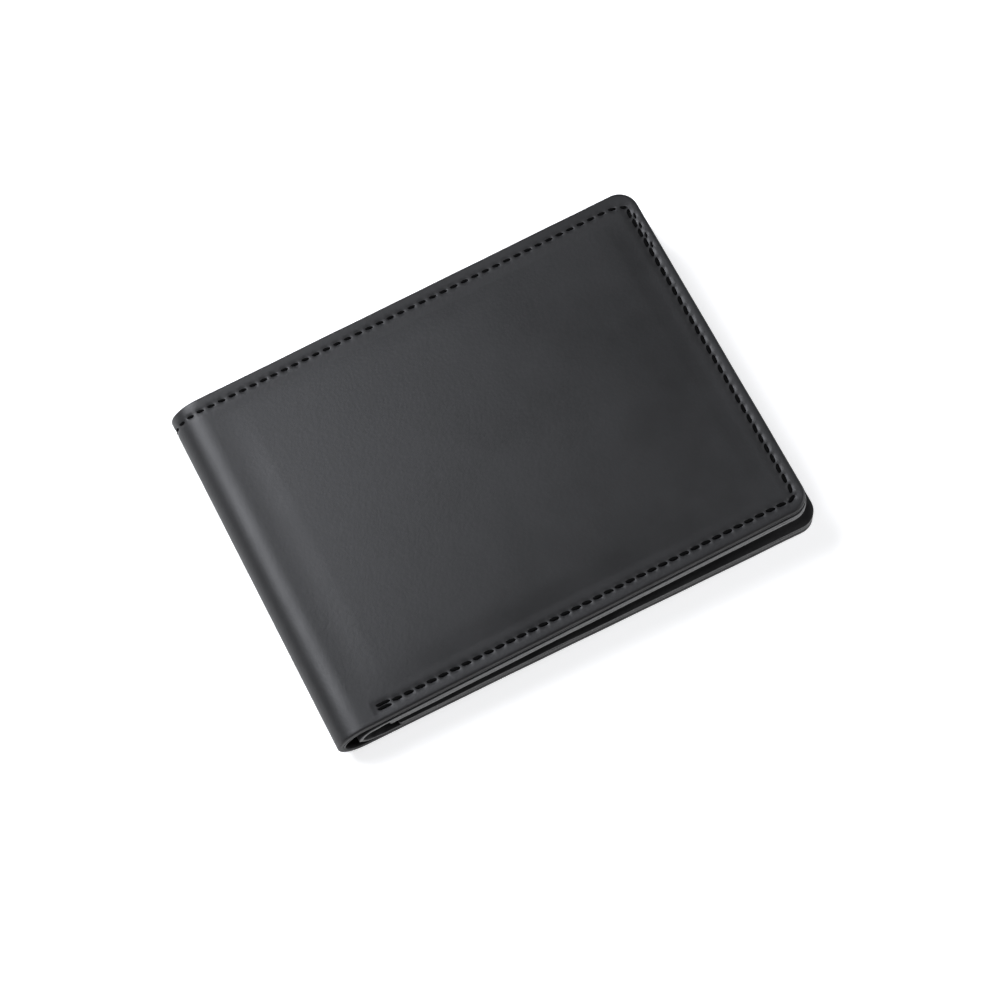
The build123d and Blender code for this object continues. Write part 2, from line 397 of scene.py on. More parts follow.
stitching = {
    "pitch": 2.65,
    "length": 2.85,
    "radius": 0.38,
    "slant": -9.0,  # degrees off the seam's line
    "lean": 3.0,  # degrees that single stitches lie off the slant, either way
    "leanSeed": 7,
    "notchWidth": 0.6,
    "notchDepth": 0.24,
    "notchFade": (0.4, 1.3),  # along the stitch from its centre, where the notch fades out
    "valleyWidth": 1.15,
    "valleyDepth": 0.16,
    "valleyFade": (1.5, 2.5),
    "reach": 3,  # how far a stitch moves the leather
    "cornerRadius": 1.5,
    "cornerSteps": 9,
    "sizes": {"finish": 0.62, "top": 0.8, "startIn": 0.9, "startOut": 0.9},  # of smaller stitches
}


def roundedPath(corners, radius):
    # polyline with its inner corners rounded, dense enough to be measured along
    points = [np.array(corners[0], float)]
    for before, corner, after in zip(corners, corners[1:], corners[2:]):
        before, corner, after = (np.array(p, float) for p in (before, corner, after))
        back = (before - corner) / np.linalg.norm(before - corner)
        ahead = (after - corner) / np.linalg.norm(after - corner)
        for part in np.linspace(0, 1, stitching["cornerSteps"]):
            start, end = corner + back * radius, corner + ahead * radius
            points.append(start * (1 - part) ** 2 + 2 * corner * part * (1 - part) + end * part**2)
    points.append(np.array(corners[-1], float))
    return np.array(points)


def stitchPlaces(path, count):
    # centres and directions of stitches evenly spaced from the path's first point to its last
    steps = np.linalg.norm(np.diff(path, axis=0), axis=1)
    total = np.concatenate(([0], np.cumsum(steps)))
    where = np.linspace(0, total[-1], count)
    centres = np.stack([np.interp(where, total, path[:, axis]) for axis in (0, 1)], axis=1)
    nudge = 0.05
    ahead = np.stack([np.interp(where + nudge, total, path[:, axis]) for axis in (0, 1)], axis=1)
    behind = np.stack([np.interp(where - nudge, total, path[:, axis]) for axis in (0, 1)], axis=1)
    return centres, np.arctan2(*(ahead - behind).T[::-1])


def runCount(corners, pitch):
    path = roundedPath(corners, stitching["cornerRadius"])
    return max(round(np.linalg.norm(np.diff(path, axis=0), axis=1).sum() / pitch), 1) + 1


pitch = stitching["pitch"]
crestFlatX = foldEnd(crestX, foldRadius)
seamEnds = {
    "startInset": 1.3,
    "startHalf": 0.6,  # the seam starts with two short rows, each side of its line
    "startGap": 0.45,
    "afterStart": 1.2 * pitch,
    "beforeTop": 1.1 * pitch,
    "finishGap": 0.85,
    "finishFrom": 1.5 * pitch,  # down from the top seam to the small stitches
    "finishTo": 4.5 * pitch,
    "turnIn": 3,  # the top seam's end turns down
    "turnEnd": 0.4,
    "turnDrop": 1.0,
}
seamStart = edgeSeamLow.x + seamEnds["startInset"]
startX = (seamStart - seamEnds["startHalf"], seamStart + seamEnds["startHalf"])
finishX = sideSeamX + seamEnds["finishGap"]
outerSeams = {
    "edge": [
        (seamStart + seamEnds["afterStart"], bottomSeamY), (sideSeamX, bottomSeamY),
        (sideSeamX, topSeamY - seamEnds["beforeTop"]),
    ],
    "top": [
        (crestFlatX + pitch / 2, topSeamY), (sideSeamX - seamEnds["turnIn"], topSeamY),
        (sideSeamX - seamEnds["turnEnd"], topSeamY - seamEnds["turnDrop"]),
    ],
    "startIn": [(x, bottomSeamY + seamEnds["startGap"]) for x in startX],
    "startOut": [(x, bottomSeamY - seamEnds["startGap"]) for x in startX],
    "finish": [(finishX, topSeamY - seamEnds["finishFrom"]), (finishX, topSeamY - seamEnds["finishTo"])],
}
innerSeams = {
    "edge": [(centreSeamX, bottomSeamY), (sideSeamX, bottomSeamY), (sideSeamX, topSeamY - pitch)],
    "centre": [(centreSeamX, bottomSeamY + pitch), (centreSeamX, centreSeamHigh.y)],
    "top": [(crestFlatX + pitch / 2, topSeamY), (sideSeamX, topSeamY)],
}


def setBack(corners, front):
    # the same seam on the half it belongs to; its end on the fold's outermost line stays
    near = wallet["frontSetback"] if front else 0.0
    return [(x - near if x > arcX else x, y) for x, y in corners]


def seamMarks(runs):
    # every stitch of these runs as centre x, centre y, direction, size
    rows = []
    for corners, size in runs:
        path = roundedPath(corners, stitching["cornerRadius"])
        centres, angles = stitchPlaces(path, runCount(corners, pitch))
        rows += [(x, y, angle, size) for (x, y), angle in zip(centres, angles)]
    return np.array(rows)


def stitchRelief(runs, strength=1.0):
    marks = seamMarks(runs)
    slant = math.radians(stitching["slant"])

    def relief(x, y):
        depth = np.zeros_like(x)
        for centreX, centreY, angle, size in marks:
            near = (abs(x - centreX) < stitching["reach"]) & (abs(y - centreY) < stitching["reach"])
            offX, offY = (x[near] - centreX) / size, (y[near] - centreY) / size
            along = offX * math.cos(angle) + offY * math.sin(angle)
            across = offY * math.cos(angle) - offX * math.sin(angle)
            valley = np.exp(-((across / stitching["valleyWidth"]) ** 2))
            valley *= 1 - ease(*stitching["valleyFade"], abs(along))
            leaned = across * math.cos(slant) - along * math.sin(slant)
            notch = np.exp(-((leaned / stitching["notchWidth"]) ** 2))
            notch *= 1 - ease(*stitching["notchFade"], abs(along))
            pull = valley * stitching["valleyDepth"] + notch * stitching["notchDepth"]
            depth[near] = np.maximum(depth[near], pull * strength * size)
        return depth

    return relief


def stitchSize(key):
    return stitching["sizes"].get(key, 1.0)


def flat(x, y):
    return np.zeros_like(x)


# Leather sheets: a rounded rim with close rows along the sewn edges, and a wider field inside it

rim = {
    "tiny": 0.08,  # least radius left at a corner
    "arcSteps": 12,
    "outerPart": 0.5,  # most of the thickness that each rounding takes
    "innerPart": 0.35,
    "outerSteps": 6,
    "innerSteps": 4,
    "outerPaint": (0.5, 1.2),  # radians round the edge over which its paint starts
    "innerPaint": (0.5, 1.4),
    "wornFrom": 1.6,  # in from the outline, where wear starts and is whole
    "wornTo": 0.2,
    "halfWorn": 0.5,
    "innerRow": 1.2,
    "margin": 6,  # columns between a rim's end and the field
    "wave": 0.07,
    "waveLength": 14.0,
    "waveReach": 12,  # the wave starts from a closed sheet's fold side
    "waveFade": 4,  # and dies this far inside the outline
}


def sheetRing(sheet, offset):
    # loop of points a set distance inside the outline, from the fold's end along the bottom
    tiny, steps = rim["tiny"], rim["arcSteps"]
    x0, x1, y0, y1 = sheet["x0"], sheet["x1"], sheet["y0"] + offset, sheet["y1"] - offset
    closed = sheet["closed"]
    radii = [max(radius - offset, tiny) for radius in sheet["radii"]]
    left = x0 + offset if closed else x0
    right = x1 - offset
    leftLow = left + (radii[3] if closed else 0)
    leftHigh = left + (radii[2] if closed else 0)
    share = np.linspace(0, 1, sheet["columns"] + 1)
    rise = np.linspace(0, 1, sheet["sideSteps"] + 1)
    inner = np.linspace(0, quarter, steps + 1)[1:-1]

    def corner(x, y, radius, start):
        return np.stack((x + radius * np.cos(start + inner), y + radius * np.sin(start + inner)), axis=1)

    def run(xs, ys):
        return np.stack(np.broadcast_arrays(xs, ys), axis=1)

    rings = [
        run(leftLow + (right - radii[0] - leftLow) * share, y0),
        corner(right - radii[0], y0 + radii[0], radii[0], -quarter),
        run(right, y0 + radii[0] + (y1 - radii[1] - y0 - radii[0]) * rise),
        corner(right - radii[1], y1 - radii[1], radii[1], 0),
        run(leftHigh + (right - radii[1] - leftHigh) * share[::-1], y1),
    ]
    if closed:
        rings += [
            corner(left + radii[2], y1 - radii[2], radii[2], quarter),
            run(left, y0 + radii[3] + (y1 - radii[2] - y0 - radii[3]) * rise[::-1]),
            corner(left + radii[3], y0 + radii[3], radii[3], 2 * quarter),
        ]
    return np.concatenate(rings)


def rimProfile(sheet):
    # rows across the rim: (distance in from the outline, part of the thickness, edge paint, wear)
    thick = sheet["depthIn"] - sheet["depthOut"]
    big = min(sheet["rounding"], thick * rim["outerPart"])
    small = min(sheet["rounding"] / 2, thick * rim["innerPart"])
    rows = []
    for offset in sheet["rows"]:
        rows.append((offset, 0.0, 0.0, ease(rim["wornFrom"], rim["wornTo"], offset) * rim["halfWorn"]))
    for turn in np.linspace(0, quarter, rim["outerSteps"]):
        paint = ease(*rim["outerPaint"], turn)
        rows.append((big * (1 - math.sin(turn)), big * (1 - math.cos(turn)), paint, 1.0))
    for turn in np.linspace(0, quarter, rim["innerSteps"]):
        paint, depth = 1 - ease(*rim["innerPaint"], turn), thick - small * (1 - math.sin(turn))
        rows.append((small * (1 - math.cos(turn)), depth, paint, rim["halfWorn"]))
    rows += [(rim["innerRow"], thick, 0.0, 0.0), (sheet["rows"][0], thick, 0.0, 0.0)]
    return rows


def wavy(x, y, seed):
    size = rim["waveLength"]
    places = zip(x / size, y / size)
    return np.array([noise.noise(Vector((a, b, seed))) for a, b in places]) * rim["wave"]


def leatherSheet(name, sheet, material, front):
    profile = rimProfile(sheet)
    outline = sheetRing(sheet, 0)
    count, last = len(outline), len(profile) - 1
    points, edge, worn, band = [], [], [], []
    outward = outline - sheetRing(sheet, 1.0)
    outward /= np.maximum(np.linalg.norm(outward, axis=1), 1e-6)[:, None]
    travel, previous = -profile[0][0], profile[0]
    for row in profile:
        offset, depth, paint, wear = row
        loop = sheetRing(sheet, offset)
        travel += math.hypot(offset - previous[0], depth - previous[1])
        points.append(np.column_stack((loop, np.full(count, depth))))
        band.append(outline + outward * travel)
        # a sheet's paint below 1 lowers its light edge tone; on the back half's layers this is painted shade
        edge += [paint * sheet["paint"]] * count
        worn += [wear] * count
        previous = row
    points, band = np.concatenate(points), np.concatenate(band)
    faces, uvs = [], []

    def addFace(corners, pairs):
        faces.append(corners)
        uvs.append(pairs)

    stations = range(count if sheet["closed"] else count - 1)
    for row in range(last):
        for i in stations:
            j = (i + 1) % count
            face = [row * count + i, row * count + j, (row + 1) * count + j, (row + 1) * count + i]
            pairs = band[face]
            if j < i:
                pairs = band[[row * count + i] * 2 + [(row + 1) * count + i] * 2]
            addFace(face, pairs)

    # the field inside the rim, on both faces
    columns, side, arc = sheet["columns"], sheet["sideSteps"], rim["arcSteps"] - 1
    margin, group = rim["margin"], sheet["sideGroup"]
    firstColumn = margin if sheet["closed"] else 0
    lastColumn = columns - margin
    rowsUp = side // group
    sideStart = columns + 1 + arc
    topStart = sideStart + side + 1 + arc
    leftStart = topStart + columns + 1 + arc
    total = len(points)
    fields = []
    for ringRow, depth in ((0, 0.0), (last, profile[last][1])):
        base = ringRow * count
        ys = points[base + sideStart : base + sideStart + side + 1 : group, 1]
        xs = points[base : base + columns + 1, 0]
        grid = np.zeros((rowsUp + 1, columns + 1), int)
        grid[0] = base + np.arange(columns + 1)
        grid[rowsUp] = base + topStart + columns - np.arange(columns + 1)
        added = []
        for j in range(1, rowsUp):
            grid[j] = total + len(added) + np.arange(columns + 1)
            added += [(x, ys[j], depth) for x in xs]
        points = np.concatenate((points, np.array(added)))
        edge += [0.0] * len(added)
        worn += [0.0] * len(added)
        total = len(points)
        fields.append(grid)
        cells = []
        for j in range(rowsUp):
            for i in range(firstColumn, lastColumn):
                cells.append([grid[j, i], grid[j + 1, i], grid[j + 1, i + 1], grid[j, i + 1]])
            foot = base + sideStart + j * group
            run = list(range(foot, foot + group + 1))
            low = list(range(base + lastColumn, base + sideStart)) if j == 0 else [grid[j, lastColumn]]
            high = (
                list(range(base + sideStart + side + 1, base + topStart + margin + 1))
                if j == rowsUp - 1
                else [grid[j + 1, lastColumn]]
            )
            cells.append((low + run + high)[::-1])
            if sheet["closed"]:
                top = base + leftStart + side - j * group
                run = list(range(top - group, top + 1))
                high = (
                    list(range(base + topStart + columns - margin, base + leftStart))
                    if j == rowsUp - 1
                    else [grid[j + 1, firstColumn]]
                )
                low = [grid[j, firstColumn]]
                if j == 0:
                    low = list(range(base + leftStart + side + 1, base + count))
                    low += list(range(base, base + firstColumn + 1))
                cells.append((high + run + low)[::-1])
        for cell in cells:
            cell = [int(v) for v in (cell if ringRow == 0 else cell[::-1])]
            addFace(cell, points[cell, :2])
    if not sheet["closed"]:  # the cut across the fold's outermost line
        low = [row * count for row in range(last + 1)]
        high = [row * count + count - 1 for row in range(last + 1)][::-1]
        for cap in (low, high):
            addFace(cap, points[cap][:, 1:])
        outerField, innerField = fields
        for j in range(rowsUp):
            cap = [outerField[j, 0], innerField[j, 0], innerField[j + 1, 0], outerField[j + 1, 0]]
            cap = [int(v) for v in cap]
            addFace(cap, points[cap][:, 1:])

    used = np.unique(np.concatenate([np.array(face) for face in faces]))
    slim = np.full(len(points), -1)
    slim[used] = np.arange(len(used))
    faces = [[int(slim[v]) for v in face] for face in faces]
    points, edge, worn = points[used], np.array(edge)[used], np.array(worn)[used]

    # depth of each face, with what the seams and the layers beneath do to it
    x, y, part = points.T
    thick = sheet["depthIn"] - sheet["depthOut"]
    share = part / thick
    outer, inner = sheet["outerRelief"](x, y), sheet["innerRelief"](x, y)
    sway = wavy(x, y, sheet["seed"])
    if sheet["closed"]:
        sway *= ease(0, rim["waveReach"], x - sheet["x0"])
    insideX = ease(rim["waveFade"], 0, sheet["x1"] - x)
    insideY = ease(rim["waveFade"], 0, np.minimum(y - sheet["y0"], sheet["y1"] - y))
    depth = sheet["depthOut"] + part + sheet["shift"](x, y) + outer * (1 - share) - inner * share
    placedX = x + sway * insideX - sheet["moved"]
    placedY = y + sway * insideY * np.sign(y)
    placed = bend(np.stack((placedX, placedY, depth), axis=1), sheet["crest"], sheet["arc"])
    return makeMesh(name, placed, faces, uvs, {"edge": edge, "worn": worn}, material, front)


def sheetSizes(low, high, depthOut, depthIn, **changes):
    # a flat layer's sizes from its box in the frame; changes are what this layer has of its own
    sizes = {
        "x0": low.x, "x1": high.x, "y0": low.y, "y1": high.y,
        "depthOut": depthOut, "depthIn": depthIn, "closed": True, "crest": crestX, "arc": foldRadius,
        "radii": [0.5, 0.5, 0.5, 0.5], "rounding": 0.2, "step": 0.55, "sideGroup": 6, "seed": 0.0,
        "paint": 1.0, "moved": 0.0,
        "rows": [4.7, 3.9, 3.4, 3.0, 2.6, 2.1, 1.4, 0.7],
        "outerRelief": flat, "innerRelief": flat, "shift": flat,
    }
    sizes.update(changes)
    sizes["columns"] = round((sizes["x1"] - sizes["x0"]) / sizes["step"])
    groups = round((sizes["y1"] - sizes["y0"]) / sizes["step"] / sizes["sideGroup"])
    sizes["sideSteps"] = max(groups, 2) * sizes["sideGroup"]
    return sizes


# The layers of one half

bulge = {"height": 1.6, "lowX": -51.0, "peakX": 11.0, "highX": 52.0, "halfY": 38.0, "foot": 0.25}


def coverBulge(x, y):
    # the cover stands off the layers beneath between its seams, most beyond the middle
    reach = np.where(x > bulge["peakX"], bulge["highX"] - bulge["peakX"], bulge["peakX"] - bulge["lowX"])
    acrossX = np.clip(1 - ((x - bulge["peakX"]) / reach) ** 2, 0, 1)
    acrossY = np.clip(1 - (y / bulge["halfY"]) ** 2, 0, 1)
    foot = ease(0, bulge["foot"], acrossX), ease(0, bulge["foot"], acrossY)
    return -bulge["height"] * acrossX * np.sqrt(acrossY) * foot[0] * foot[1]


wallCrest = crestX + wallet["wallFoldSetback"]
wallArc = foldRadius - wallLow.z - wallet["wallDrop"]
wallStart = wallCrest + wallArc * turnAcross[-1] / turnDown[-1]
dropFrom, dropTo = 2, 0.5  # where the wall comes off the lining, before its fold and in it


def wallShift(x, y):
    return wallet["wallDrop"] * ease(wallStart + dropFrom, wallStart - dropTo, x)


pocket = {
    "foot": lowerLow.z,
    "thick": 0.7,
    "rampLow": lowY + 6,
    "rampHigh": lowY + 12,
    "pinchIn": 6.5,  # how far from the stack's sides the pockets start to close down to their seams
    "pinchOut": 2.8,
    "stepFrom": 1.8,  # below the next pocket's foot, where a sewn side starts to step up to it
    "stepTo": 0.1,
}


def closing(x):
    # 1 where a pocket is sewn flat at its sides, 0 where it stands at its full depth
    fromSide = np.minimum(freeX - x, x - backingLow.x)
    return ease(pocket["pinchIn"], pocket["pinchOut"], fromSide)


def stepUp(footY, y):
    return ease(footY - pocket["stepFrom"], footY - pocket["stepTo"], y)


def lowerShift(x, y):
    full = (middleHigh.z - pocket["foot"]) * ease(pocket["rampLow"], pocket["rampHigh"], y)
    sewn = (upperHigh.z - upperLow.z) * stepUp(middleLow.y, y)
    return full + (sewn - full) * closing(x)


def middleShift(x, y):
    step = middleLow.z - upperLow.z
    sewn = -step * (1 - stepUp(upperLow.y, y))
    return sewn * closing(x)


def seamTop(x, y):
    # depth of the inner surface along the side seams
    early = 1  # a stitch steps up this far before the pocket's foot
    levels = [
        (lowY - early, pocket["foot"] + pocket["thick"]),
        (middleLow.y - early, pocket["foot"] + pocket["thick"] + upperHigh.z - upperLow.z),
        (lowerHigh.y, upperHigh.z),
        (upperLow.y - early, middleHigh.z),
        (middleHigh.y, upperHigh.z),
        (upperHigh.y, backingHigh.z),
        (backingHigh.y, wallHigh.z),
    ]
    depth = np.full_like(y, levels[0][1])
    for start, level in levels[1:]:
        depth = np.where(y >= start, level, depth)
    return depth


creaseLine = {"drop": 1.9, "width": 0.35, "depth": 0.10, "fadeFrom": 1.0, "fadeTo": 2.5}


def creased(topY, seams):
    # the pressed line below a pocket's mouth, with the notches of the seams that cross it
    stitches = stitchRelief(seams)

    def relief(x, y):
        line = np.exp(-(((topY - creaseLine["drop"] - y) / creaseLine["width"]) ** 2))
        fromSide = np.minimum(freeX - x, x - backingLow.x)
        inside = ease(creaseLine["fadeFrom"], creaseLine["fadeTo"], fromSide)
        return np.maximum(stitches(x, y), line * creaseLine["depth"] * inside)

    return relief


edges = {"frontOut": 0.4, "backEdgeShade": 0.3}  # the front stack's edge past the shell's, and the back half's share of the light edge tone, kept low as painted shade on its edges
cutCorner = 0.5
liningPull = 0.35  # of the seam's relief that shows on the lining


def halfLayers(front):
    moved = wallet["frontSetback"] if front else 0.0
    overhang = edges["frontOut"] if front else 0.0
    # the back half's layers get less of the light edge tone: painted shade on the edges that the front half
    # overhangs
    paint = 1.0 if front else edges["backEdgeShade"]
    fine = [6.4, 5.9, 5.5, 5.1, 4.75, 4.4, 4.1, 3.8, 3.5, 3.25]
    fine += [3.0, 2.75, 2.5, 2.25, 2.0, 1.75, 1.5, 1.2, 0.85]
    cover = [wallet["cornerRadius"]] * 2 + [cutCorner] * 2
    lowCorner = [wallet["cornerRadius"]] + [cutCorner] * 3
    dome = coverBulge if front else flat
    sewn = [(innerSeams["edge"], 1.0), (innerSeams["centre"], 1.0)]
    outerRuns = [(setBack(run, front), stitchSize(key)) for key, run in outerSeams.items()]
    shellSize = {"closed": False, "x0": crestFlatX, "x1": freeX - moved, "radii": cover, "shift": dome}
    layers = {}
    layers["shell"] = (
        sheetSizes(
            coverLow, coverHigh, 0.0, liningLow.z, rounding=0.5, step=0.33, sideGroup=9, rows=fine,
            outerRelief=stitchRelief(outerRuns), seed=1.0, **shellSize,
        ),
        "black_shell_leather",
    )
    layers["bill_lining"] = (
        sheetSizes(
            liningLow, liningHigh, liningLow.z, wallLow.z, rounding=0.12, seed=2.0,
            innerRelief=stitchRelief([(setBack(innerSeams["top"], front), 1.0)], liningPull),
            paint=paint, **shellSize,
        ),
        "black_lining_leather",
    )
    layers["bill_divider"] = (
        sheetSizes(
            wallLow, wallHigh, wallLow.z, wallHigh.z, closed=False, x0=foldEnd(wallCrest, wallArc),
            x1=freeX - moved, y0=wallLow.y - overhang, crest=wallCrest, arc=wallArc, radii=lowCorner,
            rounding=0.25, shift=wallShift, seed=3.0, paint=paint,
        ),
        "black_wall_leather",
    )
    lowerDepths = (pocket["foot"], pocket["foot"] + pocket["thick"])
    for key, low, high, depths, shift in (
        ("card_backing_leather", backingLow, backingHigh, (backingLow.z, backingHigh.z), flat),
        ("upper_card_pocket", upperLow, upperHigh, (upperLow.z, upperHigh.z), flat),
        ("middle_card_pocket", middleLow, middleHigh, (middleLow.z, middleHigh.z), middleShift),
        ("lower_card_pocket", lowerLow, lowerHigh, lowerDepths, lowerShift),
    ):
        atEdge = math.isclose(low.y, lowY, abs_tol=0.01)
        layers[key] = (
            sheetSizes(
                low, high, *depths, radii=lowCorner if atEdge else [cutCorner] * 4, shift=shift,
                y0=low.y - overhang if atEdge else low.y, seed=4.0 + len(layers),
                moved=moved, paint=paint, innerRelief=creased(high.y, sewn),
            ),
            "black_pocket_leather",
        )
    for key, node in (
        ("upper_pocket_cloth", "back_upper_pocket_lining"),
        ("middle_pocket_cloth", "back_middle_pocket_lining"),
    ):
        low, high = frameBox(node)
        layers[key] = (
            sheetSizes(
                low, high, low.z, high.z, rounding=0.08, step=1.0, rows=[4.7, 2.5, 1.0],
                seed=9.0, moved=moved,
            ),
            "black_pocket_cloth",
        )
    return layers


standsFor = {
    "shell": ["cover"],
    "bill_lining": ["cover_lining"],
    "bill_divider": ["bill_wall", "wall_fold"],
    "card_backing_leather": ["card_backing"],
    "upper_card_pocket": ["upper_pocket"],
    "middle_card_pocket": ["middle_pocket"],
    "lower_card_pocket": ["lower_pocket"],
    "upper_pocket_cloth": ["upper_pocket_lining"],
    "middle_pocket_cloth": ["middle_pocket_lining"],
    "edge_thread": ["edge_seam"],
    "centre_thread": ["centre_seam"],
    "top_thread": ["top_seam"],
    "pocket_cloth_thread": ["lining_seams"],
}
spineShare = {"shell": "spine_leather", "bill_lining": "spine_lining", "top_thread": "spine_seam"}
hingeSpan = 2.6  # how far each side of a fold line the leather takes to turn
foldTangent = Vector((-0.766, 0, 0.643))  # along the shell at the back hinge, towards the front half
wallTurn = 1.4  # how far before its fold the bill wall starts to turn


def acrossPlane(point):
    return Vector(mirrored(np.array([point]))[0])


def attach(piece, key, side):
    # rides on its half, or, for the pieces round the fold and the bill wall, keeps its place with its
    # transform baked in; the start and end worked out for them are not used
    front = side == "front"
    nodes = [f"{side}_{name}" for name in standsFor[key]]
    if key in spineShare and not front:
        nodes.append(spineShare[key])
    if key in spineShare or key == "bill_divider":
        if key == "bill_divider":
            start = Vector((wallCrest + wallArc + wallTurn, 0, wallHigh.z))
            end = Vector((wallCrest, 0, foldRadius))
        else:
            start = backHinge - foldTangent * hingeSpan
            end = backHinge + foldTangent * hingeSpan
        if front:
            start, end = acrossPlane(end), acrossPlane(start)
            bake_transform(piece)
        else:
            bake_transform(piece)
    else:
        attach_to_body(piece, side + "_half")
    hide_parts(*nodes)


for side in ("back", "front"):
    for key, (sizes, slot) in halfLayers(side == "front").items():
        piece = leatherSheet(f"{side}_{key}", sizes, materials[slot], side == "front")
        attach(piece, key, side)
    print(side, "leather made")

# Stitches: Geometry Nodes set them along each run in the flat layout, then they bend with the leather


ply = {
    "rings": 9,
    "sides": 8,
    "leastTaper": 0.12,
    "swell": 0.14,  # of the two plies, round the stitch
    "twist": 5,
    "wide": 1.15,
    "dip": 0.26,
}


def stitchTemplate():
    # one stitch of two-ply thread, arched so that its ends go down into the leather
    rings, sides, half = ply["rings"], ply["sides"], stitching["length"] / 2
    points, faces = [], []
    for ring in range(rings):
        part = ring / (rings - 1) * 2 - 1
        taper = math.sqrt(max(1 - abs(part) ** 3, ply["leastTaper"]))
        for side in range(sides):
            turn = side / sides * 2 * math.pi
            swollen = 1 + ply["swell"] * math.cos(2 * turn - part * ply["twist"])
            radius = stitching["radius"] * taper * swollen
            across, up = radius * math.cos(turn) * ply["wide"], radius * math.sin(turn)
            points.append((part * half, across, up - ply["dip"] * part**4))
    for ring in range(rings - 1):
        for side in range(sides):
            after, here, there = (side + 1) % sides, ring * sides, (ring + 1) * sides
            faces.append((here + side, there + side, there + after, here + after))
    faces.append(tuple(range(sides)))
    faces.append(tuple(range(rings * sides - 1, (rings - 1) * sides - 1, -1)))
    mesh = bpy.data.meshes.new("stitchTemplate")
    mesh.from_pydata([tuple(c * mm for c in p) for p in points], [], [face[::-1] for face in faces])
    mesh.polygons.foreach_set("use_smooth", [True] * len(mesh.polygons))
    return bpy.data.objects.new("stitchTemplate", mesh)


def seamTree():
    tree = bpy.data.node_groups.new("seamStitches", "GeometryNodeTree")
    inputs = {}
    for name, kind in (
        ("Geometry", "NodeSocketGeometry"), ("Count", "NodeSocketInt"), ("Stitch", "NodeSocketObject"),
        ("Slant", "NodeSocketFloat"), ("Size", "NodeSocketFloat"), ("Material", "NodeSocketMaterial"),
    ):
        inputs[name] = tree.interface.new_socket(name, in_out="INPUT", socket_type=kind).identifier
    tree.interface.new_socket("Geometry", in_out="OUTPUT", socket_type="NodeSocketGeometry")

    def node(kind, **settings):
        made = tree.nodes.new(kind)
        for name, value in settings.items():
            setattr(made, name, value)
        return made

    def link(output, target):
        tree.links.new(output, target)

    source, result = node("NodeGroupInput"), node("NodeGroupOutput")
    curve = node("GeometryNodeMeshToCurve")
    sample = node("GeometryNodeResampleCurve")
    tangent = node("GeometryNodeInputTangent")
    align = node("FunctionNodeAlignRotationToVector", axis="X", pivot_axis="Z")
    template = node("GeometryNodeObjectInfo")
    onPoints = node("GeometryNodeInstanceOnPoints")
    lean = node("FunctionNodeRandomValue", data_type="FLOAT")
    lean.inputs["Seed"].default_value = stitching["leanSeed"]
    lean.inputs[2].default_value = math.radians(-stitching["lean"])
    lean.inputs[3].default_value = math.radians(stitching["lean"])
    slanted = node("ShaderNodeMath", operation="ADD")
    turn = node("ShaderNodeCombineXYZ")
    rotate = node("GeometryNodeRotateInstances")
    realize = node("GeometryNodeRealizeInstances")
    paint = node("GeometryNodeSetMaterial")
    link(source.outputs["Geometry"], curve.inputs[0])
    link(curve.outputs[0], sample.inputs["Curve"])
    link(source.outputs["Count"], sample.inputs["Count"])
    link(sample.outputs[0], onPoints.inputs["Points"])
    link(tangent.outputs[0], align.inputs["Vector"])
    link(source.outputs["Stitch"], template.inputs["Object"])
    link(template.outputs["Geometry"], onPoints.inputs["Instance"])
    link(align.outputs[0], onPoints.inputs["Rotation"])
    link(source.outputs["Size"], onPoints.inputs["Scale"])
    link(source.outputs["Slant"], slanted.inputs[0])
    link(lean.outputs[1], slanted.inputs[1])
    link(slanted.outputs[0], turn.inputs["Z"])
    link(onPoints.outputs[0], rotate.inputs["Instances"])
    link(turn.outputs[0], rotate.inputs["Rotation"])
    link(rotate.outputs[0], realize.inputs[0])
    link(realize.outputs[0], paint.inputs[0])
    link(source.outputs["Material"], paint.inputs["Material"])
    link(paint.outputs[0], result.inputs[0])
    return tree, inputs


template = stitchTemplate()
tree, treeInputs = seamTree()


def stitchMesh(corners, size):
    path = roundedPath(corners, stitching["cornerRadius"])
    mesh = bpy.data.meshes.new("seamPath")
    links = [(i, i + 1) for i in range(len(path) - 1)]
    mesh.from_pydata([(x * mm, y * mm, 0) for x, y in path], links, [])
    holder = bpy.data.objects.new("seamPath", mesh)
    bpy.context.scene.collection.objects.link(holder)
    modifier = holder.modifiers.new("stitches", "NODES")
    modifier.node_group = tree
    modifier[treeInputs["Count"]] = runCount(corners, pitch)
    modifier[treeInputs["Stitch"]] = template
    modifier[treeInputs["Slant"]] = math.radians(stitching["slant"])
    modifier[treeInputs["Size"]] = size
    modifier[treeInputs["Material"]] = materials["black_thread"]
    evaluated = holder.evaluated_get(bpy.context.evaluated_depsgraph_get())
    made = bpy.data.meshes.new_from_object(evaluated)
    points = np.array([v.co for v in made.vertices]) / mm
    faces = [list(p.vertices) for p in made.polygons]
    bpy.data.objects.remove(holder)
    return points, faces


threadRise = {1: 0.02, -1: 0.3}  # how far the thread's top stands off the leather's face, outside and inside
clothSeamIn, clothSeamUp = 1.5, 1.2


def seamPiece(name, runs, front):
    # runs: (corners, size, depth of the leather's face, +1 on the outer face or -1 on the inner one)
    allPoints, allFaces = [], []
    for corners, size, surface, way in runs:
        points, faces = stitchMesh(setBack(corners, front), size)
        x, y, up = points.T
        depth = surface(x, y) + way * ((stitching["radius"] - threadRise[way]) * size - up)
        if way > 0:
            faces = [face[::-1] for face in faces]
        start = sum(len(p) for p in allPoints)
        allPoints.append(bend(np.stack((x, y, depth), axis=1), crestX, foldRadius))
        allFaces += [[v + start for v in face] for face in faces]
    points = np.concatenate(allPoints)
    uvs = [points[face][:, :2] for face in allFaces]
    return makeMesh(name, points, allFaces, uvs, {}, materials["black_thread"], front)


